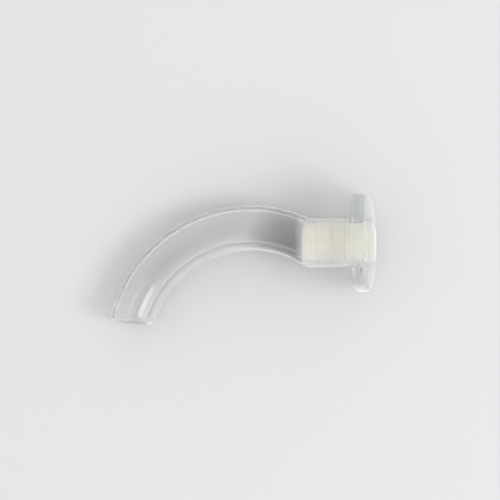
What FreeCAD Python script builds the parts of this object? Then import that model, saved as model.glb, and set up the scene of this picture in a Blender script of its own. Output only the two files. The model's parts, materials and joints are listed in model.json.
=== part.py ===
import FreeCAD, Part
import math
import os
from FreeCAD import Rotation, Vector

# Oropharyngeal airway, a curved hollow tube that keeps the tongue off the throat.
# It has two pieces: a clear soft moulded body, which is flange, bite portion and curved
# tube in one, and a rigid ribbed sleeve, the bite block, pushed into its mouth.
#
# The pieces are drawn in the airway's own frame and laid down at the end.
# There x runs out of the mouth along the bite axis, with x = 0 on the back of the
# flange, y runs up to the palate, and z runs across the lips.
# All lengths are millimetres and all angles are degrees.

# Flange, the plate that rests on the lips
flange_width = 31.0
flange_height = 27.7
flange_rim = 4.5
flange_dome = 1.4
flange_side_bow = 1.3
flange_top_bow = 2.2
flange_corner = 9.0
flange_back_round = 1.0
flange_front_round = 1.4

# Bore of the bite block, the rigid sleeve between the teeth
bore_width = 9.6
bore_height = 7.85
bore_bow = 0.45
bore_side_run = 1.125
bore_lead = 0.6

# Wall, ribs and front collar of the bite block
sleeve_wall = 1.05
sleeve_length = 14.6
rib_height = 0.4
rib_ramp = 0.4
rib_crest = 0.4
rib_pitch = 4.15
rib_count = 4
collar_lip = 0.55
collar_thickness = 1.6
collar_below_crown = 0.3

# Bite portion of the body, moulded to take the sleeve
bite_wall = 1.3
bite_flare = 0.2
bite_shoulder = 0.15
bite_root_round = 0.5
sleeve_fit = 0.04

# Curved tube
tube_width = 15.0
tube_height = 12.45
tube_bow = 0.4
tube_side_run = 0.525
curve_radius = 35.25
curve_start = 13.0
curve_tilt = 29.4
curve_sweep = 106.0

# Lumen, the airway through the tube
palate_wall = 1.75
tongue_wall = 2.3
side_wall = 2.3
lumen_bow = 0.4
lumen_side_run = 0.8
throat_run = 1.3

# Tip
tip_bevel = 9.0
tip_outer_round = 1.2
tip_inner_round = 0.5

# Fineness of the points on which the resting pose is worked out, and the roll, in
# radians, below which the airway counts as lying still
rest_deflection = 0.02
rest_roll = 1e-6

# How near an edge or a face must be to a plane to count as lying on it
touching = 0.005


def oval_wire(x, width, height, side_bow, top_bow, corner, grow=0.0):
    """Outline across x: four bowed sides and four round corners, all tangent.

    The sides bow out by side_bow at the ends of the width and by top_bow at the
    ends of the height. grow offsets the whole outline outwards."""
    half_z, half_y = width / 2, height / 2
    side_radius = (half_y ** 2 + side_bow ** 2) / (2 * side_bow)
    top_radius = (half_z ** 2 + top_bow ** 2) / (2 * top_bow)
    side_centre = half_z - side_radius
    top_centre = half_y - top_radius
    # A corner's centre lies where both bowed sides, drawn in by its radius, cross
    to_side = side_radius - corner
    to_top = top_radius - corner
    apart = math.hypot(side_centre, top_centre)
    along = (to_side ** 2 - to_top ** 2 + apart ** 2) / (2 * apart)
    across = math.sqrt(to_side ** 2 - along ** 2)
    unit_z, unit_y = -side_centre / apart, top_centre / apart
    corner_z = side_centre + along * unit_z - across * unit_y
    corner_y = along * unit_y + across * unit_z
    side_turn = math.atan2(corner_y, corner_z - side_centre)
    top_turn = math.atan2(corner_y - top_centre, corner_z)

    def on_corner(turn):
        reach = corner + grow
        return (corner_z + reach * math.cos(turn), corner_y + reach * math.sin(turn))

    corner_arc = [on_corner(turn) for turn in (side_turn, (side_turn + top_turn) / 2, top_turn)]
    side_middle = (half_z + grow, 0.0)
    top_middle = (0.0, half_y + grow)
    quarters = ((1, 1), (-1, 1), (-1, -1), (1, -1))
    arcs = []
    for quarter, (sign_z, sign_y) in enumerate(quarters):
        points = [(sign_z * z, sign_y * y) for z, y in corner_arc]
        if sign_z * sign_y < 0:
            points.reverse()
        next_z, next_y = quarters[(quarter + 1) % 4]
        start = points[-1]
        end = (start[0] * sign_z * next_z, start[1] * sign_y * next_y)
        bow = top_middle if sign_y == next_y else side_middle
        arcs.append(points)
        arcs.append([start, (sign_z * bow[0], sign_y * bow[1]), end])
    edges = [Part.Arc(*[Vector(x, y, z) for z, y in points]).toShape() for points in arcs]
    return Part.Wire(edges)


def prism(x_from, x_to, wire_at):
    """Solid between two cuts across x, with the outline that wire_at gives."""
    return Part.Face(wire_at(x_from)).extrude(Vector(x_to - x_from, 0, 0))


def half_space(point, normal, reach):
    """Block that fills everything within reach of point on the normal's side."""
    block = Part.makeBox(reach, 2 * reach, 2 * reach, Vector(0, -reach, -reach))
    block.rotate(Vector(0, 0, 0), *axis_and_angle(Vector(1, 0, 0), normal))
    block.translate(point)
    return block


def axis_and_angle(start, end):
    """Axis and angle in degrees of the shortest turn from start to end."""
    turn = Rotation(start, end)
    return turn.Axis, math.degrees(turn.Angle)


# Outlines that more than one piece is made with

def flange_wire(x):
    return oval_wire(x, flange_width, flange_height, flange_side_bow, flange_top_bow, flange_corner)


def bore_wire(x, grow=0.0):
    corner = bore_height / 2 - bore_side_run
    return oval_wire(x, bore_width, bore_height, bore_bow, bore_bow, corner, grow)


def sleeve_wire(x, grow=0.0):
    return bore_wire(x, sleeve_wall + grow)


def rib_wire(x, grow=0.0):
    return sleeve_wire(x, rib_height + grow)


# Places along the bite axis, and the centre that the tube is bent round
crown = flange_rim + flange_dome
collar_front = crown - collar_below_crown
collar_back = collar_front - collar_thickness
tilt = math.radians(curve_tilt)
curve_centre = Vector(-curve_start - curve_radius * math.sin(tilt), -curve_radius * math.cos(tilt), 0)
curve_end = 90 - curve_tilt + curve_sweep


def on_curve(angle, radius):
    """Point at an angle round the bend, at a distance from its centre."""
    turn = math.radians(angle)
    return curve_centre + Vector(math.cos(turn), math.sin(turn), 0) * radius


def bent(radius, angle_from, angle_to, wire):
    """Solid that sweeps a wire, drawn across x, round the bend at a radius."""
    section = Part.Face(wire)
    section.translate(Vector(0, radius, 0))
    section.rotate(Vector(0, 0, 0), Vector(0, 0, 1), angle_from - 90)
    section.translate(curve_centre)
    return section.revolve(curve_centre, Vector(0, 0, 1), angle_to - angle_from)


def crossing(radius, height):
    """Point where a circle round the bend's centre crosses a height on the mouth's side."""
    rise = height - curve_centre.y
    return Vector(curve_centre.x + math.sqrt(radius ** 2 - rise ** 2), height, 0)


def make_flange():
    """Plate with a domed front and rounded edges."""
    plate = prism(0, crown, flange_wire)
    half = flange_height / 2
    dome_radius = (half ** 2 + flange_dome ** 2) / (2 * flange_dome)
    plate = plate.common(Part.makeSphere(dome_radius, Vector(crown - dome_radius, 0, 0)))
    back_edges = [edge for edge in plate.Edges if edge.BoundBox.XMax < flange_rim / 4]
    plate = plate.makeFillet(flange_back_round, back_edges)
    rim_edges = [edge for edge in plate.Edges if edge.BoundBox.XMin > flange_rim / 2]
    return plate.makeFillet(flange_front_round, rim_edges)


def make_sleeve_outside(grow, front):
    """Outside of the bite block: barrel, barbed ribs and front collar, up to front.

    grow makes it larger all round, for the pocket that takes it."""
    shape = prism(-sleeve_length - grow, collar_front, lambda x: sleeve_wire(x, grow))
    for rib in range(rib_count):
        ramp_start = -sleeve_length + rib * rib_pitch
        crest_start = ramp_start + rib_ramp
        ramp = [sleeve_wire(ramp_start - grow, grow), rib_wire(crest_start - grow, grow)]
        crest_end = crest_start + rib_crest + grow
        shape = shape.fuse(Part.makeLoft(ramp, True, True))
        shape = shape.fuse(prism(crest_start - grow, crest_end, lambda x: rib_wire(x, grow)))
    collar = prism(collar_back, front, lambda x: sleeve_wire(x, collar_lip + grow))
    return shape.fuse(collar)


def make_bite_block():
    """Rigid sleeve with an oval bore, flared at its mouth."""
    block = make_sleeve_outside(0, collar_front)
    bore = prism(-sleeve_length, collar_front, bore_wire)
    lead = [bore_wire(collar_front - bore_lead), bore_wire(collar_front, bore_lead)]
    return block.cut(bore.fuse(Part.makeLoft(lead, True, True))).removeSplitter()


def is_root(edge):
    """True if an edge is where the bite portion leaves the back of the flange."""
    on_back = abs(edge.BoundBox.XMin) < touching and abs(edge.BoundBox.XMax) < touching
    middle = edge.CenterOfMass
    return on_back and math.hypot(middle.y, middle.z) < flange_height / 3


def make_body():
    """Clear body: flange, bite portion and curved tube, hollow from mouth to tip."""
    tube_half = tube_height / 2
    bite_grow = rib_height + bite_wall
    bite_half = bore_height / 2 + sleeve_wall + bite_grow + bite_flare
    upper_corner = crossing(curve_radius + tube_half - bite_shoulder, bite_half)
    lower_corner = crossing(curve_radius - tube_half + bite_shoulder, -bite_half)
    mitre = upper_corner - lower_corner
    to_tip = Vector(-mitre.y, mitre.x, 0)
    reach = 2 * flange_width

    bite_ends = [sleeve_wire(0, bite_grow), sleeve_wire(2 * upper_corner.x, bite_grow + 2 * bite_flare)]
    bite = Part.makeLoft(bite_ends, True, True).cut(half_space(lower_corner, to_tip, reach))
    past_tip = curve_end + math.degrees(tube_height / curve_radius)
    outline = oval_wire(0, tube_width, tube_height, tube_bow, tube_bow, tube_half - tube_side_run)
    tube = bent(curve_radius, 0, past_tip, outline).cut(half_space(lower_corner, to_tip * -1, reach))
    body = make_flange().fuse([bite, tube])
    root_edges = [edge for edge in body.Edges if is_root(edge)]
    body = body.makeFillet(bite_root_round, root_edges)

    lumen_radius = curve_radius + (tongue_wall - palate_wall) / 2
    lumen_width = tube_width - 2 * side_wall
    lumen_height = tube_height - palate_wall - tongue_wall
    corner = lumen_height / 2 - lumen_side_run
    outline = oval_wire(0, lumen_width, lumen_height, lumen_bow, lumen_bow, corner)
    lumen = bent(lumen_radius, 0, past_tip, outline)
    sleeve_end = Vector(-sleeve_length, 0, 0)
    lumen = lumen.cut(half_space(sleeve_end, Vector(1, 0, 0), 2 * reach))
    throat = prism(-sleeve_length - throat_run, -sleeve_length, bore_wire)
    pocket = make_sleeve_outside(sleeve_fit, crown + collar_thickness)
    return body.cut([lumen, throat, pocket]).removeSplitter()


def make_tip(body):
    """Cut the tube off on its bevel and round both edges of the end."""
    end = on_curve(curve_end, curve_radius)
    turn = math.radians(curve_end + 90 + tip_bevel)
    outwards = Vector(math.cos(turn), math.sin(turn), 0)
    body = body.cut(half_space(end, outwards, 2 * tube_width))

    def on_end(face):
        offsets = [(vertex.Point - end).dot(outwards) for vertex in face.Vertexes]
        return max(offsets) < touching and min(offsets) > -touching

    for radius, is_outer in ((tip_outer_round, True), (tip_inner_round, False)):
        face = [face for face in body.Faces if on_end(face)][0]
        wires = [wire for wire in face.Wires if wire.isSame(face.OuterWire) == is_outer]
        body = body.makeFillet(radius, [edge for wire in wires for edge in wire.Edges])
    return body


def floor_under(points, centre):
    """Upward normal of the plane on which the points would stop, let down along z.

    It passes through three of them with the rest above it, and the centre of mass
    stands over the triangle between the three."""
    reach = 2 * max((point - centre).Length for point in points)
    corners = [centre + Vector(reach * math.cos(turn), reach * math.sin(turn), reach)
               for turn in (0, 2 * math.pi / 3, 4 * math.pi / 3)]
    while True:
        first, second, third = corners
        normal = (second - first).cross(third - first)
        normal.normalize()
        lowest = min(points, key=lambda point: (point - first).dot(normal))
        if (lowest - first).dot(normal) > -rest_deflection / 1000:
            return normal
        for corner in range(3):
            trial = corners[:corner] + [lowest] + corners[corner + 1:]
            if stands_over(centre, trial):
                corners = trial
                break


def stands_over(centre, corners):
    """True if the centre lies inside three corners that go round it anticlockwise."""
    for start, end in zip(corners, corners[1:] + corners[:1]):
        if (end.x - start.x) * (centre.y - start.y) < (end.y - start.y) * (centre.x - start.x):
            return False
    return True


def resting_turn(points, centre):
    """Rotation that lays the airway on its side as it would roll to rest on a table."""
    up = Vector(0, 0, 1)
    turn = Rotation()
    rolled = math.pi
    while rolled > rest_roll:
        turned = [turn.multVec(point) for point in points]
        roll = Rotation(floor_under(turned, turn.multVec(centre)), up)
        rolled = roll.Angle
        turn = roll.multiply(turn)
    heading = turn.multVec(Vector(1, 0, 0))
    return Rotation(up, -math.degrees(math.atan2(heading.y, heading.x))).multiply(turn)


def lie_down(shapes):
    """Turn all shapes to their resting pose, with the floor and their middle at zero."""
    points = [point for shape in shapes for point in shape.tessellate(rest_deflection)[0]]
    volume = sum(shape.Volume for shape in shapes)
    centre = Vector(0, 0, 0)
    for shape in shapes:
        for solid in shape.Solids:
            centre += solid.CenterOfMass * (solid.Volume / volume)
    turn = resting_turn(points, centre)
    turned = [turn.multVec(point) for point in points]
    lows = [min(point[axis] for point in turned) for axis in range(3)]
    highs = [max(point[axis] for point in turned) for axis in range(3)]
    shift = Vector(-(lows[0] + highs[0]) / 2, -(lows[1] + highs[1]) / 2, -lows[2])
    placement = FreeCAD.Placement(shift, turn)
    return [shape.transformed(placement.toMatrix()) for shape in shapes], placement


def make_airway():
    """Both pieces at rest, by name, and the placement that laid them down."""
    names = ("airway_body", "bite_block")
    shapes, placement = lie_down([make_tip(make_body()), make_bite_block()])
    return dict(zip(names, shapes)), placement


if __name__ == "__main__":
    os.makedirs("parts", exist_ok=True)
    pieces, resting = make_airway()
    heading = resting.Rotation.multVec(Vector(1, 0, 0))
    print("bite axis rises", round(math.degrees(math.asin(heading.z)), 2), "degrees")
    for name, shape in pieces.items():
        shape.exportStep("parts/" + name + ".step")
        print(name, "solids", len(shape.Solids), "valid", shape.isValid(), "mm3", round(shape.Volume, 1))
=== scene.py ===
"""Looks of a clear oropharyngeal airway with an off-white bite block, lying on its side.

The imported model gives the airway's place. Both pieces are grown again here as smooth quad
skins with the same sizes, because clear plastic shows every facet, and they stand for
their solids. Sizes are in millimetres, and the skins are turned to metres when placed.
"""
import json
import logging
import math
from collections.abc import Sequence
from dataclasses import dataclass, field
from enum import Enum
from typing import Any

import bmesh
import bpy
from mathutils import Matrix, Vector


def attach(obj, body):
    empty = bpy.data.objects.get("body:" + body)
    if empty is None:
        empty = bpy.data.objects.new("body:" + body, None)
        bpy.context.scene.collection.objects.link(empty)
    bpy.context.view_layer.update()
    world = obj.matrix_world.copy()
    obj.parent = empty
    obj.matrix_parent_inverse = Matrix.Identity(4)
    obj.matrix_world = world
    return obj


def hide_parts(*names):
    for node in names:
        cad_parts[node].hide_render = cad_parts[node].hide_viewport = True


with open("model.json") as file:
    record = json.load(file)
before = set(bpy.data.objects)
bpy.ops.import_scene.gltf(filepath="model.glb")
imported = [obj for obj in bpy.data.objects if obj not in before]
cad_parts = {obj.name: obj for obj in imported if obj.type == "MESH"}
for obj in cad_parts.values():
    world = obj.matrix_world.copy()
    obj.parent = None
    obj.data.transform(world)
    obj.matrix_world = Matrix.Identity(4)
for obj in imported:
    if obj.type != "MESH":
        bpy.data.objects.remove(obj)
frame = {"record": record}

LOG = logging.getLogger("airway")
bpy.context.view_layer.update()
METRES = 0.001
AROUND = 128
SAME_PLACE = 1e-5


class Slot(Enum):
    """The record's material slots."""

    CLEAR_BODY = "clear_body"
    BITE_BLOCK = "bite_block"


class Number:
    """A shader socket that adds Math nodes when it is used in an expression."""

    def __init__(self, surface: "Surface", socket: Any) -> None:
        """Wrap a socket.

        Args:
            surface: The surface whose nodes the expression is added to.
            socket: The output socket that holds the number.
        """
        self.surface = surface
        self.socket = socket

    def _with(self, operation: str, first: Any, second: Any) -> "Number":
        """Add one Math node and return its result."""
        node = self.surface.node("ShaderNodeMath", {"operation": operation}, {0: first, 1: second})
        return Number(self.surface, node.outputs[0])

    def __add__(self, other: Any) -> "Number":
        """Add."""
        return self._with("ADD", self, other)

    def __sub__(self, other: Any) -> "Number":
        """Subtract."""
        return self._with("SUBTRACT", self, other)

    def __rsub__(self, other: Any) -> "Number":
        """Subtract from a plain number."""
        return self._with("SUBTRACT", other, self)

    def __mul__(self, other: Any) -> "Number":
        """Multiply."""
        return self._with("MULTIPLY", self, other)

    __radd__ = __add__
    __rmul__ = __mul__

    def from_whole(self) -> "Number":
        """How far the number is from the nearest whole one."""
        return (self - self._with("ROUND", self, 0.0)).size()

    def size(self) -> "Number":
        """The number without its sign."""
        return self._with("ABSOLUTE", self, 0.0)

    def clamp(self) -> "Number":
        """Keep the number between 0 and 1."""
        node = self.surface.node("ShaderNodeClamp", {}, {"Value": self})
        return Number(self.surface, node.outputs[0])


class Surface:
    """A material and the nodes that dress it."""

    def __init__(self, name: str) -> None:
        """Start a material with a Principled shader.

        Args:
            name: The material's name.
        """
        self.material = bpy.data.materials.new(name)
        self.material.use_nodes = True
        self.tree = self.material.node_tree
        self.shader = self.tree.nodes["Principled BSDF"]

    def node(self, kind: str, settings: dict[str, Any], inputs: dict[Any, Any]) -> Any:
        """Add one node.

        Args:
            kind: The node's type.
            settings: Its own settings, set before its sockets.
            inputs: A value, a socket or a Number for each socket.

        Returns:
            The new node.
        """
        node = self.tree.nodes.new(kind)
        for key, value in settings.items():
            setattr(node, key, value)
        for key, value in inputs.items():
            self.feed(node.inputs[key], value)
        return node

    def feed(self, socket: Any, value: Any) -> None:
        """Set a socket, or link it to another one.

        Args:
            socket: The input socket.
            value: A plain value, or the socket or Number that it is linked to.
        """
        source = value.socket if isinstance(value, Number) else value
        if isinstance(source, bpy.types.NodeSocket):
            self.tree.links.new(source, socket)
        else:
            socket.default_value = source

    def set(self, **constants: Any) -> None:
        """Set constants on the shader, with underscores for the spaces in socket names."""
        for key, value in constants.items():
            self.shader.inputs[key.replace("_", " ")].default_value = value

    def place(self) -> Any:
        """The point on the piece, in metres."""
        return self.node("ShaderNodeTexCoord", {}, {}).outputs["Object"]

    def along(self, place: Any, start: Vector, axis: Vector) -> Number:
        """How far the surface is from a point along an axis.

        Args:
            place: The point on the piece.
            start: The point that it is measured from.
            axis: The axis, of length 1.

        Returns:
            The distance in metres, below 0 behind the start.
        """
        offset = self.node("ShaderNodeVectorMath", {"operation": "SUBTRACT"}, {0: place, 1: start})
        reach = self.node("ShaderNodeVectorMath", {"operation": "DOT_PRODUCT"},
                          {0: offset.outputs[0], 1: axis})
        return Number(self, reach.outputs["Value"])

    def near(self, place: Any, middle: Vector, reach: float) -> Number:
        """How near the surface is to a point, from 1 there to 0 at the reach."""
        away = self.node("ShaderNodeVectorMath", {"operation": "DISTANCE"}, {0: place, 1: middle})
        return (1 - Number(self, away.outputs["Value"]) * (1 / reach)).clamp()

    def noise(self, place: Any, scale: float, detail: float = 2.0,
              stretch: Vector | None = None) -> Number:
        """Soft noise over the surface.

        Args:
            place: The point that it is read at.
            scale: How many features there are to a metre.
            detail: How many finer layers are added.
            stretch: How much finer the noise is along each axis.

        Returns:
            The noise, from 0 to 1.
        """
        if stretch is not None:
            place = self.node("ShaderNodeMapping", {}, {"Vector": place, "Scale": stretch}).outputs[0]
        node = self.node("ShaderNodeTexNoise", {}, {"Vector": place, "Scale": scale, "Detail": detail})
        return Number(self, node.outputs["Fac"])

    def blend(self, share: Any, *colours: Any) -> Any:
        """Mix two colours.

        Args:
            share: How much of the second colour there is, from 0 to 1.
            colours: The two colours, or the sockets that hold them.

        Returns:
            The socket of the mixed colour.
        """
        node = self.node("ShaderNodeMix", {"data_type": "RGBA"}, {"Factor": share})
        sockets = [socket for socket in node.inputs if socket.type == "RGBA"]
        for socket, colour in zip(sockets, colours):
            self.feed(socket, (*colour, 1.0) if isinstance(colour, tuple) else colour)
        return next(socket for socket in node.outputs if socket.type == "RGBA")

    def bump(self, height: Number, strength: float, distance: float) -> None:
        """Give the surface a fine relief.

        Args:
            height: The relief, from 0 to 1.
            strength: How strongly it shows.
            distance: How deep it is, in metres.
        """
        node = self.node("ShaderNodeBump", {},
                         {"Height": height, "Strength": strength, "Distance": distance})
        self.feed(self.shader.inputs["Normal"], node.outputs[0])


@dataclass(frozen=True)
class ClearPlastic:
    """Soft clear moulded plastic, a little milky, with faint flow marks."""

    thin: tuple[float, float, float] = (0.955, 0.958, 0.962)
    thick: tuple[float, float, float] = (0.92, 0.93, 0.94)
    flange: tuple[float, float, float] = (0.905, 0.925, 0.932)
    bite: tuple[float, float, float] = (0.99, 0.99, 0.985)
    # painted shade: dark grey laid on the lumen by the bite block's end, for the shade there
    throat: tuple[float, float, float] = (0.24, 0.25, 0.24)
    roughness: float = 0.13
    clearness: float = 0.85
    index: float = 1.30
    sheen: float = 0.8
    sheen_roughness: float = 0.35
    gloss: float = 0.5
    gloss_roughness: float = 0.12
    clouds: float = 90.0
    flow: float = 140.0
    flow_detail: float = 3.0
    flow_stretch: tuple[float, float, float] = (0.35, 1.0, 1.0)
    flow_roughness: float = 0.08
    flow_strength: float = 0.025
    flow_depth: float = 0.0002
    flange_fade: float = 0.001
    bite_reach: float = 0.017
    shade_and_polish_offset: tuple[float, float] = (-3.5, -1.5)
    shade_and_polish_reach: float = 0.015
    shade_and_polish_fade: float = 0.002
    throat_polish: float = 0.07

    def material(self, block: "BiteBlock", placement: Matrix) -> bpy.types.Material:
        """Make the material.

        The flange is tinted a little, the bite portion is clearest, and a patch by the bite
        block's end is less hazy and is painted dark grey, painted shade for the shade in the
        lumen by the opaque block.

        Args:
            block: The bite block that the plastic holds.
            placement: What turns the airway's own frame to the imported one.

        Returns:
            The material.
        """
        middle = placement @ Vector((-block.length / 2, 0.0, 0.0))
        behind, down = self.shade_and_polish_offset
        shade_and_polish_middle = placement @ Vector((-block.length + behind, down, 0.0))
        outwards = placement.to_3x3().col[0].normalized()
        surface = Surface("clear_soft_plastic")
        place = surface.place()
        clouds = surface.noise(place, self.clouds)
        flow = surface.noise(place, self.flow, self.flow_detail, Vector(self.flow_stretch))
        ahead = surface.along(place, placement.translation, outwards)
        front = (ahead * (1 / self.flange_fade)).clamp()
        over = (surface.near(place, middle, self.bite_reach) * 2).clamp()
        past = ((ahead + block.length * METRES) * (-1 / self.shade_and_polish_fade)).clamp()
        # painted shade: mask of the dark patch by the bite block's end, which is also polished smoother
        near = surface.near(place, shade_and_polish_middle, self.shade_and_polish_reach) * past
        milky = surface.blend(over, surface.blend(clouds, self.thin, self.thick), self.bite)
        tinted = surface.blend(front, milky, self.flange)
        # painted shade: the patch by the block's end is blended towards dark grey
        colour = surface.blend(near, tinted, self.throat)
        roughness = (flow - 0.5) * self.flow_roughness + self.roughness - near * self.throat_polish
        surface.feed(surface.shader.inputs["Base Color"], colour)
        surface.feed(surface.shader.inputs["Roughness"], roughness)
        surface.set(Transmission_Weight=self.clearness, IOR=self.index,
                    Sheen_Weight=self.sheen, Sheen_Roughness=self.sheen_roughness,
                    Coat_Weight=self.gloss, Coat_Roughness=self.gloss_roughness)
        surface.bump(flow, self.flow_strength, self.flow_depth)
        return surface.material


@dataclass(frozen=True)
class RigidPlastic:
    """Rigid off-white moulded plastic with a soft sheen."""

    pale: tuple[float, float, float] = (0.98, 0.955, 0.82)
    deep: tuple[float, float, float] = (0.96, 0.925, 0.76)
    crest: tuple[float, float, float] = (0.99, 0.98, 0.93)
    # painted light: whiter colour for the block's sides, for the light scattered by the milky body over
    # them
    side: tuple[float, float, float] = (0.98, 0.968, 0.91)
    # painted shade: greyer colour that dims the collar's lamp-lit front
    front: tuple[float, float, float] = (0.80, 0.79, 0.765)
    roughness: float = 0.36
    index: float = 1.5
    glow: float = 0.15
    glow_depth: float = 0.001
    glow_spread: tuple[float, float, float] = (1.0, 0.9, 0.7)
    clouds: float = 120.0
    grain: float = 2600.0
    grain_detail: float = 4.0
    grain_roughness: float = 0.1
    grain_strength: float = 0.1
    grain_depth: float = 0.0001
    line: float = 0.0007
    side_light_start: float = 0.0029
    side_light_fade: float = 0.0018
    collar_shade_fade: float = 0.0010

    def material(self, block: "BiteBlock", placement: Matrix) -> bpy.types.Material:
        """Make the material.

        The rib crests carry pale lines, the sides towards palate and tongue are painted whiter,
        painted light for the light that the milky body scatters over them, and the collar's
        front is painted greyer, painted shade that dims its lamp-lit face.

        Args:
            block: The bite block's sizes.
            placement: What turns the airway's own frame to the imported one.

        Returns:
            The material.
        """
        crest = -block.length + block.rib_ramp + block.rib_crest / 2
        first = placement @ Vector((crest, 0.0, 0.0))
        outwards, palate = (placement.to_3x3().col[axis].normalized() for axis in (0, 1))
        pitch = block.rib_pitch * METRES
        collar = (block.collar_back - crest) * METRES
        surface = Surface("off_white_rigid_plastic")
        place = surface.place()
        clouds = surface.noise(place, self.clouds)
        grain = surface.noise(place, self.grain, self.grain_detail)
        ahead = surface.along(place, first, outwards)
        rise = surface.along(place, first, palate).size()
        line = (1 - (ahead * (1 / pitch)).from_whole() * (2 * pitch / self.line)).clamp()
        # painted light: mask of the whiter sides towards palate and tongue
        side = ((rise - self.side_light_start) * (1 / self.side_light_fade)).clamp()
        # painted shade: mask of the greyer collar
        front = ((ahead - collar) * (1 / self.collar_shade_fade)).clamp()
        plain = surface.blend(side, surface.blend(clouds, self.pale, self.deep), self.side)
        colour = surface.blend(front, surface.blend(line, plain, self.crest), self.front)
        roughness = grain * self.grain_roughness + self.roughness
        surface.feed(surface.shader.inputs["Base Color"], colour)
        surface.feed(surface.shader.inputs["Roughness"], roughness)
        surface.set(IOR=self.index, Subsurface_Weight=self.glow,
                    Subsurface_Scale=self.glow_depth, Subsurface_Radius=self.glow_spread)
        surface.bump(grain, self.grain_strength, self.grain_depth)
        return surface.material


@dataclass(frozen=True)
class TableTop:
    """Plain pale table."""

    colour: tuple[float, float, float] = (0.68, 0.685, 0.69)
    roughness: float = 0.9
    shine: float = 0.2

    def material(self) -> bpy.types.Material:
        """Make the material.

        Returns:
            The material.
        """
        surface = Surface("pale_table")
        surface.set(Base_Color=(*self.colour, 1.0), Roughness=self.roughness,
                    Specular_IOR_Level=self.shine)
        return surface.material


@dataclass(frozen=True)
class Oval:
    """Outline of four bowed sides and four round corners, all tangent."""

    width: float
    height: float
    side_bow: float
    top_bow: float
    corner: float

    def point(self, turn: float, grow: float) -> tuple[float, float]:
        """Point of the outline, grown outwards, whose outward normal has an angle.

        Args:
            turn: The normal's angle, from z towards y.
            grow: How far the outline is offset outwards.

        Returns:
            The point's z and y.
        """
        half_z, half_y = self.width / 2, self.height / 2
        side_radius = (half_y ** 2 + self.side_bow ** 2) / (2 * self.side_bow)
        top_radius = (half_z ** 2 + self.top_bow ** 2) / (2 * self.top_bow)
        side_centre = half_z - side_radius
        top_centre = half_y - top_radius
        to_side, to_top = side_radius - self.corner, top_radius - self.corner
        apart = math.hypot(side_centre, top_centre)
        along = (to_side ** 2 - to_top ** 2 + apart ** 2) / (2 * apart)
        across = math.sqrt(to_side ** 2 - along ** 2)
        unit_z, unit_y = -side_centre / apart, top_centre / apart
        corner_z = side_centre + along * unit_z - across * unit_y
        corner_y = along * unit_y + across * unit_z
        side_turn = math.atan2(corner_y, corner_z - side_centre)
        top_turn = math.atan2(corner_y - top_centre, corner_z)
        cosine, sine = math.cos(turn), math.sin(turn)
        folded = math.atan2(abs(sine), abs(cosine))
        if folded < side_turn:
            centre, radius = (side_centre, 0.0), side_radius
        elif folded > top_turn:
            centre, radius = (0.0, top_centre), top_radius
        else:
            centre, radius = (corner_z, corner_y), self.corner
        z = centre[0] + (radius + grow) * math.cos(folded)
        y = centre[1] + (radius + grow) * math.sin(folded)
        return math.copysign(z, cosine), math.copysign(y, sine)

    def points(self, grow: float) -> list[tuple[float, float]]:
        """The outline's points (z, y), in order round it."""
        return [self.point(2 * math.pi * (step + 0.5) / AROUND, grow) for step in range(AROUND)]


@dataclass(frozen=True)
class Plane:
    """Plane across the airway, through a point and facing a direction in the x-y plane."""

    x: float
    y: float
    facing: float

    def moved(self, distance: float) -> "Plane":
        """The plane, moved the way it faces."""
        x = self.x + distance * math.cos(self.facing)
        return Plane(x, self.y + distance * math.sin(self.facing), self.facing)


@dataclass(frozen=True)
class Bend:
    """Circular bend of the tube, drawn in the airway's plane of symmetry."""

    start: float = 13.0
    radius: float = 35.25
    tilt: float = math.radians(29.4)
    sweep: float = math.radians(106.0)

    @property
    def x(self) -> float:
        """The centre's x."""
        return -self.start - self.radius * math.sin(self.tilt)

    @property
    def y(self) -> float:
        """The centre's y."""
        return -self.radius * math.cos(self.tilt)

    @property
    def end(self) -> float:
        """The angle at which the bend ends."""
        return math.pi / 2 - self.tilt + self.sweep

    def at(self, angle: float, reach: float, z: float) -> Vector:
        """Point at an angle round the bend and a distance from its centre."""
        return Vector((self.x + reach * math.cos(angle), self.y + reach * math.sin(angle), z))

    def angle_at(self, plane: Plane, reach: float) -> float:
        """Angle at which a circle round the centre crosses a plane.

        Args:
            plane: The plane.
            reach: The circle's radius.

        Returns:
            The angle round the bend.
        """
        nx, ny = math.cos(plane.facing), math.sin(plane.facing)
        offset = nx * (plane.x - self.x) + ny * (plane.y - self.y)
        return plane.facing - math.acos(offset / reach)

    def crossing(self, reach: float, height: float) -> tuple[float, float]:
        """Point where such a circle crosses a height on the mouth's side."""
        return self.x + math.sqrt(reach ** 2 - (height - self.y) ** 2), height


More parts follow.
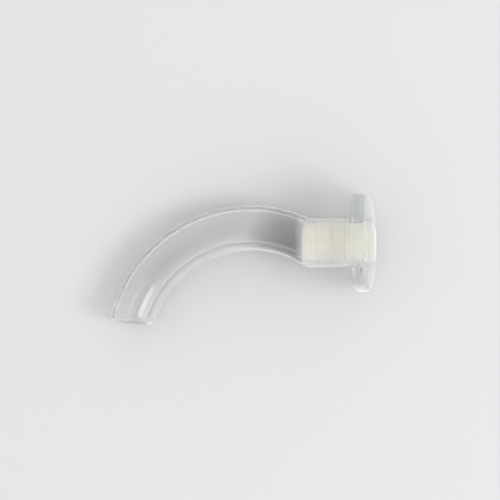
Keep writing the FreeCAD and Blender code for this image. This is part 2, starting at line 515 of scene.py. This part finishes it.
class Skin:
    """Closed skin of quads, grown ring by ring from one outline."""

    def __init__(self) -> None:
        """Start with a circle of edges that the first ring takes over."""
        self.mesh = bmesh.new()
        self.ring: list[Any] = bmesh.ops.create_circle(self.mesh, segments=AROUND, radius=1.0)["verts"]
        self.first: list[Vector] = []

    def add(self, points: Sequence[Vector]) -> None:
        """Grow the skin to the next ring.

        Args:
            points: The ring's points, in the same order as those before.
        """
        if not self.first:
            self.first = [point.copy() for point in points]
        else:
            pairs = zip(self.ring, self.ring[1:] + self.ring[:1])
            edges = [self.mesh.edges.get(pair) for pair in pairs]
            grown = bmesh.ops.extrude_edge_only(self.mesh, edges=edges)["geom"]
            fresh = {vert for vert in grown if isinstance(vert, bmesh.types.BMVert)}
            ends = [[edge.other_vert(vert) for edge in vert.link_edges] for vert in self.ring]
            self.ring = [next(end for end in near if end in fresh) for near in ends]
        for vert, point in zip(self.ring, points):
            vert.co = point

    def close(self, name: str, placement: Matrix, sharp: float) -> bpy.types.Object:
        """Close the skin on its first ring and make the object.

        Args:
            name: The piece's name.
            placement: What turns the airway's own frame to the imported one.
            sharp: The angle between faces above which an edge stays crisp.

        Returns:
            The new object.
        """
        self.add(self.first)
        bmesh.ops.remove_doubles(self.mesh, verts=self.mesh.verts[:], dist=SAME_PLACE)
        bmesh.ops.recalc_face_normals(self.mesh, faces=self.mesh.faces[:])
        bmesh.ops.transform(self.mesh, matrix=placement, verts=self.mesh.verts[:])
        data = bpy.data.meshes.new(name)
        self.mesh.to_mesh(data)
        self.mesh.free()
        data.shade_smooth()
        data.set_sharp_from_angle(angle=sharp)
        piece = bpy.data.objects.new(name, data)
        bpy.context.scene.collection.objects.link(piece)
        return piece


def rounded(corners: Sequence[tuple[float, float, float]], steps: int = 5) -> list[tuple[float, float]]:
    """Profile through corners, each with its own rounding.

    Args:
        corners: The x, the growth and the rounding radius of each corner.
        steps: How many spans each rounding has.

    Returns:
        The x and growth of each ring.
    """
    path = [corners[0][:2]]
    for before, here, after in zip(corners, corners[1:], corners[2:]):
        point = Vector(here[:2])
        back, on = (Vector(before[:2]) - point).normalized(), (Vector(after[:2]) - point).normalized()
        if here[2] <= 0:
            path.append(tuple(point))
            continue
        half = back.angle(on) / 2
        middle = (back + on).normalized()
        centre = point + middle * (here[2] / math.sin(half))
        start = point + back * (here[2] / math.tan(half)) - centre
        turn = (math.pi - 2 * half) * (1 if back.x * on.y - back.y * on.x < 0 else -1)
        for step in range(steps + 1):
            path.append(tuple(centre + Matrix.Rotation(turn * step / steps, 2) @ start))
    path.append(corners[-1][:2])
    return path


def ring_across(outline: Oval, x: float, grow: float) -> list[Vector]:
    """Ring of an outline, grown outwards, straight across the bite axis."""
    return [Vector((x, y, z)) for z, y in outline.points(grow)]


def quarter(steps: int = 6) -> list[tuple[float, float]]:
    """Cosine and sine of the steps of a quarter turn."""
    turns = [math.pi / 2 * step / steps for step in range(steps + 1)]
    return [(math.cos(turn), math.sin(turn)) for turn in turns]


@dataclass(frozen=True)
class BiteBlock:
    """Rigid sleeve between the teeth, with barbed ribs, a front collar and an oval bore."""

    bore: Oval = Oval(9.6, 7.85, 0.45, 0.45, 2.8)
    wall: float = 1.05
    length: float = 14.6
    rib_height: float = 0.4
    rib_ramp: float = 0.4
    rib_crest: float = 0.4
    rib_pitch: float = 4.15
    rib_count: int = 4
    collar_lip: float = 0.55
    collar_front: float = 5.6
    collar_back: float = 4.0
    lead: float = 0.6
    edge: float = 0.06
    sharp: float = math.radians(38.0)

    def ribs(self, hug: float, edge: float) -> list[tuple[float, float, float]]:
        """Corners of the ribbed outside, from its far end to the last rib.

        Args:
            hug: How far the profile is drawn in, as for the soft pocket that hugs it.
            edge: How much each crest's corners are rounded.

        Returns:
            The x, the growth and the rounding radius of each corner.
        """
        low = self.wall - hug
        high = low + self.rib_height
        corners = []
        for rib in range(self.rib_count):
            start = -self.length + rib * self.rib_pitch + hug
            crest = start + self.rib_ramp
            end = crest + self.rib_crest - 2 * hug
            corners += [(start, low, 0.0), (crest, high, edge), (end, high, edge), (end, low, 0.0)]
        return corners

    def build(self, placement: Matrix) -> bpy.types.Object:
        """Make the bite block as one closed skin.

        Args:
            placement: What turns the airway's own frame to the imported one.

        Returns:
            The bite block's object.
        """
        back, front = self.collar_back, self.collar_front
        rim = self.wall + self.collar_lip
        middle = (-self.length / 2, 0.0, 0.0)
        profile = [middle, (-self.length, 0.0, self.edge), *self.ribs(0.0, self.edge),
                   (back, self.wall, 0.0), (back, rim, self.edge), (front, rim, 2 * self.edge),
                   (front, self.lead, self.edge), (front - self.lead, 0.0, self.edge), middle]
        skin = Skin()
        for x, grow in rounded(profile)[:-1]:
            skin.add(ring_across(self.bore, x, grow))
        return skin.close("bite_block_skin", placement, self.sharp)


@dataclass(frozen=True)
class ClearBody:
    """Flange, bite portion and curved tube in one clear piece, hollow from mouth to tip."""

    block: BiteBlock
    bend: Bend = Bend()
    plate: Oval = Oval(31.0, 27.7, 1.3, 2.2, 9.0)
    rim: float = 4.5
    dome: float = 1.4
    back_round: float = 1.0
    front_round: float = 1.4
    bite_wall: float = 1.3
    bite_flare: float = 0.2
    bite_shoulder: float = 0.15
    root_round: float = 0.5
    tube: Oval = Oval(15.0, 12.45, 0.4, 0.4, 5.7)
    lumen: Oval = Oval(10.4, 8.4, 0.4, 0.4, 3.4)
    palate_wall: float = 1.75
    tongue_wall: float = 2.3
    throat_run: float = 1.3
    tip_bevel: float = math.radians(9.0)
    tip_outer_round: float = 1.2
    tip_inner_round: float = 0.5
    hug: float = 0.01
    sharp: float = math.radians(32.0)
    bend_steps: int = 72
    face_steps: int = 10

    @property
    def dome_radius(self) -> float:
        """Radius of the domed front."""
        half = self.plate.height / 2
        return (half ** 2 + self.dome ** 2) / (2 * self.dome)

    @property
    def dome_centre(self) -> Vector:
        """Middle of the sphere that the domed front is a part of."""
        return Vector((self.rim + self.dome - self.dome_radius, 0.0, 0.0))

    @property
    def tip_plane(self) -> Plane:
        """Plane of the tip's end."""
        end = self.bend.at(self.bend.end, self.bend.radius, 0.0)
        return Plane(end.x, end.y, self.bend.end + math.pi / 2 + self.tip_bevel)

    @property
    def tip_start(self) -> Plane:
        """Plane before the tip's roundings, where the even rings of the bend end."""
        return self.tip_plane.moved(-2 * self.tip_outer_round)

    def on_dome(self, z: float, y: float) -> Vector:
        """Point of the domed front in front of a point of the plate."""
        rise = math.sqrt(self.dome_radius ** 2 - z ** 2 - y ** 2)
        return Vector((self.dome_centre.x + rise, y, z))

    def bite_growth(self, x: float) -> float:
        """How far the bite portion's outside stands off the bore at an x."""
        level = self.block.wall + self.block.rib_height + self.bite_wall
        return level + self.bite_flare * x / self.mitre.x

    @property
    def mitre(self) -> Plane:
        """Plane on which the bite portion meets the tube.

        Returns:
            The plane, through the upper corner.
        """
        half = self.tube.height / 2
        thickness = self.block.wall + self.block.rib_height + self.bite_wall + self.bite_flare
        bite_half = self.block.bore.height / 2 + thickness
        upper = self.bend.crossing(self.bend.radius + half - self.bite_shoulder, bite_half)
        lower = self.bend.crossing(self.bend.radius - half + self.bite_shoulder, -bite_half)
        return Plane(*upper, math.atan2(upper[0] - lower[0], lower[1] - upper[1]))

    def tube_ring(self, outline: Oval, radius: float, grow: float, place: Plane | float) -> list[Vector]:
        """Ring of the curved tube.

        Args:
            outline: The tube's or the lumen's outline.
            radius: The radius at which its middle goes round the bend.
            grow: How far the outline is grown.
            place: The angle round the bend, or a plane that cuts the tube.

        Returns:
            The ring's points.
        """
        ring = []
        for z, rise in outline.points(grow):
            reach = radius + rise
            angle = self.bend.angle_at(place, reach) if isinstance(place, Plane) else place
            ring.append(self.bend.at(angle, reach, z))
        return ring

    def flange_rings(self) -> list[list[Vector]]:
        """Rings over the flange, from the pocket's mouth to the bite portion's root.

        Returns:
            The rings, in order.
        """
        block = self.block
        mouth = block.bore.points(block.wall + block.collar_lip - self.hug)
        inner = self.plate.points(-self.front_round)
        outer = self.plate.points(0.0)
        balls, starts = [], []
        for z, y in inner:
            rise = math.sqrt((self.dome_radius - self.front_round) ** 2 - z ** 2 - y ** 2)
            ball = self.dome_centre + Vector((rise, y, z))
            balls.append(ball)
            starts.append((ball - self.dome_centre).normalized())
        edges = [ball + start * self.front_round for ball, start in zip(balls, starts)]
        rings = []
        for step in range(self.face_steps):
            share = step / self.face_steps
            rings.append([self.on_dome(z + (edge.z - z) * share, y + (edge.y - y) * share)
                          for (z, y), edge in zip(mouth, edges)])
        steps = len(quarter()) - 1
        for step in range(steps + 1):
            ring = []
            for ball, start, (z, y) in zip(balls, starts, outer):
                outwards = Vector((0.0, y - ball.y, z - ball.z)).normalized()
                ring.append(ball + start.slerp(outwards, step / steps) * self.front_round)
            rings.append(ring)
        for cosine, sine in quarter():
            x = self.back_round * (1 - sine)
            rings.append(ring_across(self.plate, x, self.back_round * (cosine - 1)))
        return rings

    def outer_rings(self) -> list[list[Vector]]:
        """Rings over the outside, from the flange's back to the tip's end.

        Returns:
            The rings, in order.
        """
        rings = []
        for cosine, sine in quarter():
            grow = self.bite_growth(0.0) + self.root_round * (1 - sine)
            rings.append(ring_across(self.block.bore, -self.root_round * (1 - cosine), grow))
        corner = []
        for z, y in self.block.bore.points(self.bite_growth(self.mitre.x)):
            x = self.mitre.x - (y - self.mitre.y) * math.tan(self.mitre.facing)
            corner.append(Vector((x, y, z)))
        rings += [corner, self.tube_ring(self.tube, self.bend.radius, 0.0, self.mitre)]
        half = self.tube.height / 2
        first = max(self.bend.angle_at(self.mitre, self.bend.radius + side) for side in (-half, half))
        last = self.bend.angle_at(self.tip_start, self.bend.radius)
        for step in range(1, self.bend_steps + 1):
            angle = first + (last - first) * step / self.bend_steps
            rings.append(self.tube_ring(self.tube, self.bend.radius, 0.0, angle))
        for cosine, sine in quarter():
            plane = self.tip_plane.moved(self.tip_outer_round * (sine - 1))
            grow = self.tip_outer_round * (cosine - 1)
            rings.append(self.tube_ring(self.tube, self.bend.radius, grow, plane))
        return rings

    def lumen_rings(self) -> list[list[Vector]]:
        """Rings over the inside, from the tip's end back to the pocket's mouth.

        Returns:
            The rings, in order.
        """
        block = self.block
        radius = self.bend.radius + (self.tongue_wall - self.palate_wall) / 2
        rings = []
        for cosine, sine in reversed(quarter()):
            plane = self.tip_plane.moved(self.tip_inner_round * (sine - 1))
            grow = self.tip_inner_round * (1 - cosine)
            rings.append(self.tube_ring(self.lumen, radius, grow, plane))
        half, side = block.bore.height / 2, self.lumen.height / 2
        throat = Plane(-block.length, half, math.atan2(self.throat_run, -2 * half))
        first = self.bend.angle_at(self.tip_start, radius)
        last = max(self.bend.angle_at(throat, radius + reach) for reach in (-side, side))
        for step in range(self.bend_steps):
            angle = first + (last - first) * step / self.bend_steps
            rings.append(self.tube_ring(self.lumen, radius, 0.0, angle))
        rings.append(self.tube_ring(self.lumen, radius, 0.0, throat))
        slope = self.throat_run / (2 * half)
        rings.append([Vector((-block.length - (half - y) * slope, y, z))
                      for z, y in block.bore.points(0.0)])
        rings.append(ring_across(block.bore, -block.length + self.hug, 0.0))
        for x, grow, _ in block.ribs(self.hug, 0.0):
            rings.append(ring_across(block.bore, x, grow))
        floor = block.collar_back + self.hug
        rings.append(ring_across(block.bore, floor, block.wall - self.hug))
        rings.append(ring_across(block.bore, floor, block.wall + block.collar_lip - self.hug))
        return rings

    def build(self, placement: Matrix) -> bpy.types.Object:
        """Make the body as one closed skin.

        Args:
            placement: What turns the airway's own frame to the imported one.

        Returns:
            The body's object.
        """
        skin = Skin()
        for ring in self.flange_rings() + self.outer_rings() + self.lumen_rings():
            skin.add(ring)
        return skin.close("airway_body_skin", placement, self.sharp)


@dataclass
class Airway:
    """The airway at rest: the clear body with the bite block in its mouth."""

    block: BiteBlock = BiteBlock()
    pieces: dict[str, bpy.types.Object] = field(default_factory=dict)

    def placement(self) -> Matrix:
        """Work out the airway's place from the record's mounts.

        Returns:
            What turns the airway's own frame, in millimetres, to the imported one, in metres.
        """
        mounts = {mount["name"]: mount for mount in frame["record"]["mounts"]}
        mouth, lips = mounts["mouth_bore"], mounts["lip_face"]
        outwards = Vector(mouth["axis"]).normalized()
        arm = Vector(lips["pos_m"]) - Vector(mouth["pos_m"])
        palate = (arm - outwards * arm.dot(outwards)).normalized()
        across = outwards.cross(palate)
        origin = Vector(mouth["pos_m"]) - outwards * self.block.collar_front * METRES
        axes = Matrix((outwards, palate, across)).transposed() * METRES
        return Matrix.Translation(origin) @ axes.to_4x4()

    def dress(self, node: str, piece: bpy.types.Object,
              material: bpy.types.Material) -> None:
        """Put a piece in the place of its CAD node.

        Args:
            node: The CAD node's name.
            piece: The finished piece.
            material: Its material.
        """
        piece.data.materials.append(material)
        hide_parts(node)
        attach(piece, "root")
        self.pieces[node] = piece
        LOG.info("%s: %d faces", piece.name, len(piece.data.polygons))

    def build(self) -> None:
        """Make and dress both pieces."""
        placement = self.placement()
        body = ClearBody(self.block).build(placement)
        clear = ClearPlastic().material(self.block, placement)
        self.dress("airway_body", body, clear)
        sleeve = self.block.build(placement)
        rigid = RigidPlastic().material(self.block, placement)
        self.dress("bite_block", sleeve, rigid)


@dataclass(frozen=True)
class Studio:
    """Table, soft light and the camera that looks straight down."""

    height: float = 0.8
    lens: float = 197.0
    sensor: float = 36.0
    nearest: float = 0.01
    aim: tuple[float, float] = (0.0019, 0.0027)
    yaw: float = math.radians(-0.5)
    table: float = 3.0
    lamp_place: tuple[float, float, float] = (0.54, -0.15, 0.76)
    lamp_width: float = 0.37
    lamp_power: float = 2.5
    daylight: float = 0.96

    def lay_table(self) -> None:
        """Lay the table."""
        mesh = bmesh.new()
        bmesh.ops.create_grid(mesh, x_segments=1, y_segments=1, size=self.table / 2)
        data = bpy.data.meshes.new("table")
        mesh.to_mesh(data)
        mesh.free()
        table = bpy.data.objects.new("table", data)
        table.data.materials.append(TableTop().material())
        bpy.context.scene.collection.objects.link(table)

    def hang_lamp(self) -> None:
        """Hang a square soft light that points at the airway."""
        data = bpy.data.lights.new("window", "AREA")
        data.size = self.lamp_width
        data.energy = self.lamp_power
        lamp = bpy.data.objects.new("window", data)
        lamp.location = self.lamp_place
        lamp.rotation_euler = Vector(self.lamp_place).to_track_quat("Z", "Y").to_euler()
        bpy.context.scene.collection.objects.link(lamp)

    def fill_with_daylight(self) -> None:
        """Light the room evenly."""
        world = bpy.data.worlds.new("room")
        world.use_nodes = True
        background = world.node_tree.nodes["Background"]
        background.inputs["Color"].default_value = (1.0, 1.0, 1.0, 1.0)
        background.inputs["Strength"].default_value = self.daylight
        bpy.context.scene.world = world

    def set_camera(self) -> None:
        """Set the camera over the airway."""
        camera = bpy.data.objects.new("camera", bpy.data.cameras.new("camera"))
        camera.data.lens = self.lens
        camera.data.sensor_width = self.sensor
        camera.data.clip_start = self.nearest
        camera.location = (*self.aim, self.height)
        camera.rotation_euler = (0.0, 0.0, self.yaw)
        bpy.context.scene.collection.objects.link(camera)
        bpy.context.scene.camera = camera
        bpy.context.scene.view_settings.view_transform = "Standard"

    def build(self) -> None:
        """Lay the table, light it and set the camera."""
        self.lay_table()
        self.hang_lamp()
        self.fill_with_daylight()
        self.set_camera()


def main() -> None:
    """Build the airway and its studio."""
    logging.basicConfig(level=logging.INFO)
    Airway().build()
    Studio().build()


if __name__ == "__main__":
    main()
